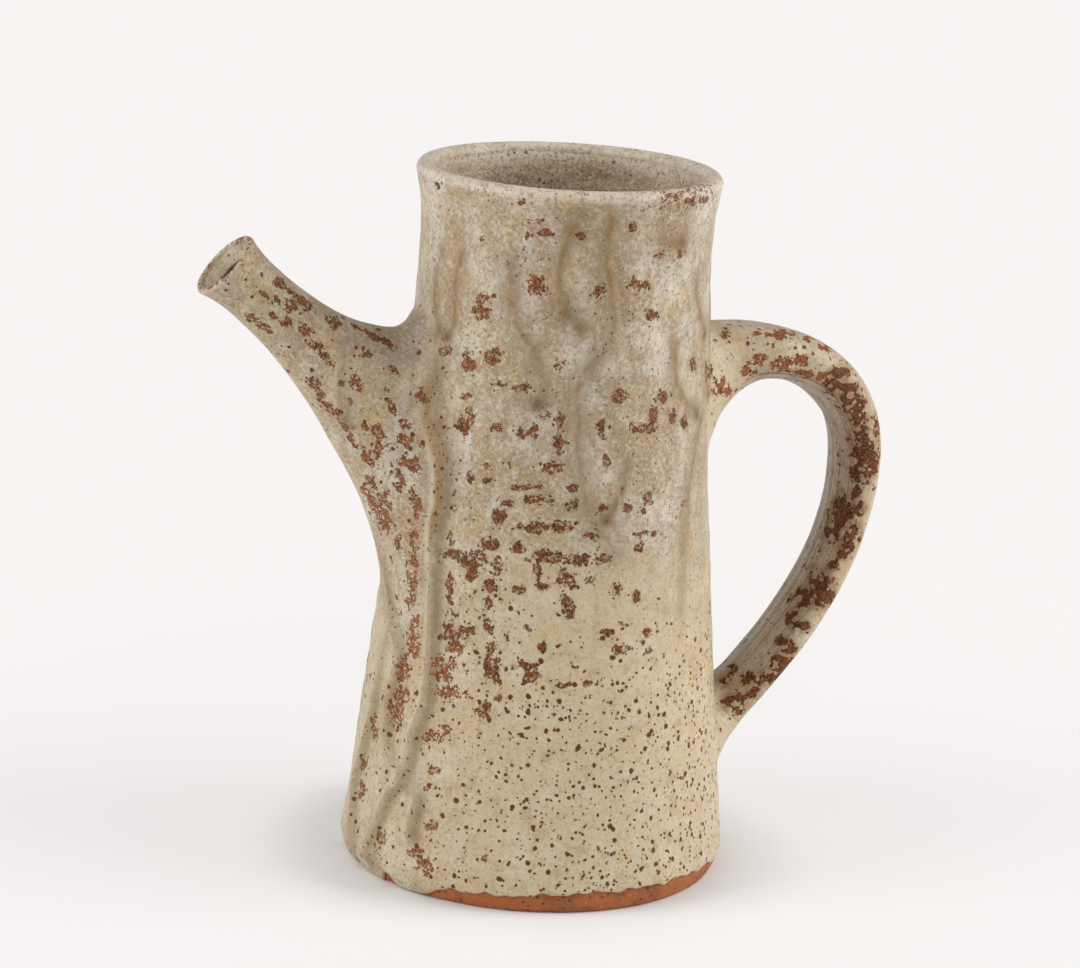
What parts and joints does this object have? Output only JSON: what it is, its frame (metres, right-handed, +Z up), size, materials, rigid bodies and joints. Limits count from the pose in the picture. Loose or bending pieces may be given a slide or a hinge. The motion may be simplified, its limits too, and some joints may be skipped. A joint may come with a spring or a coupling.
{
  "type": "jug",
  "caption": "Waisted cylindrical stoneware jug with an open rim, a long tapering pouring spout and a bowed strap handle, under a speckled ash glaze above a bare foot.",
  "frame": {"origin": "on the throwing axis, in the plane of the flat foot that the jug stands on", "axes": "+Z up along the throwing axis, +X towards the handle, -X towards the spout"},
  "size_m": [0.234, 0.1258, 0.2304],
  "materials": {
    "stoneware": "bare, grainy orange-brown fired stoneware",
    "slip": "dull fired slip",
    "ash_glaze": "satin cream ash glaze with iron spots and thick runs",
    "liner_glaze": "satin grey-brown ash glaze with fine specks"
  },
  "bodies": {
    "root": {"body": "stoneware", "spout": "stoneware", "handle": "stoneware", "spout_slip": "slip", "handle_upper_slip": "slip", "handle_lower_slip": "slip", "body_glaze": "ash_glaze", "spout_glaze": "ash_glaze", "handle_glaze": "ash_glaze", "liner_glaze": "liner_glaze"}
  },
  "joints": []
}
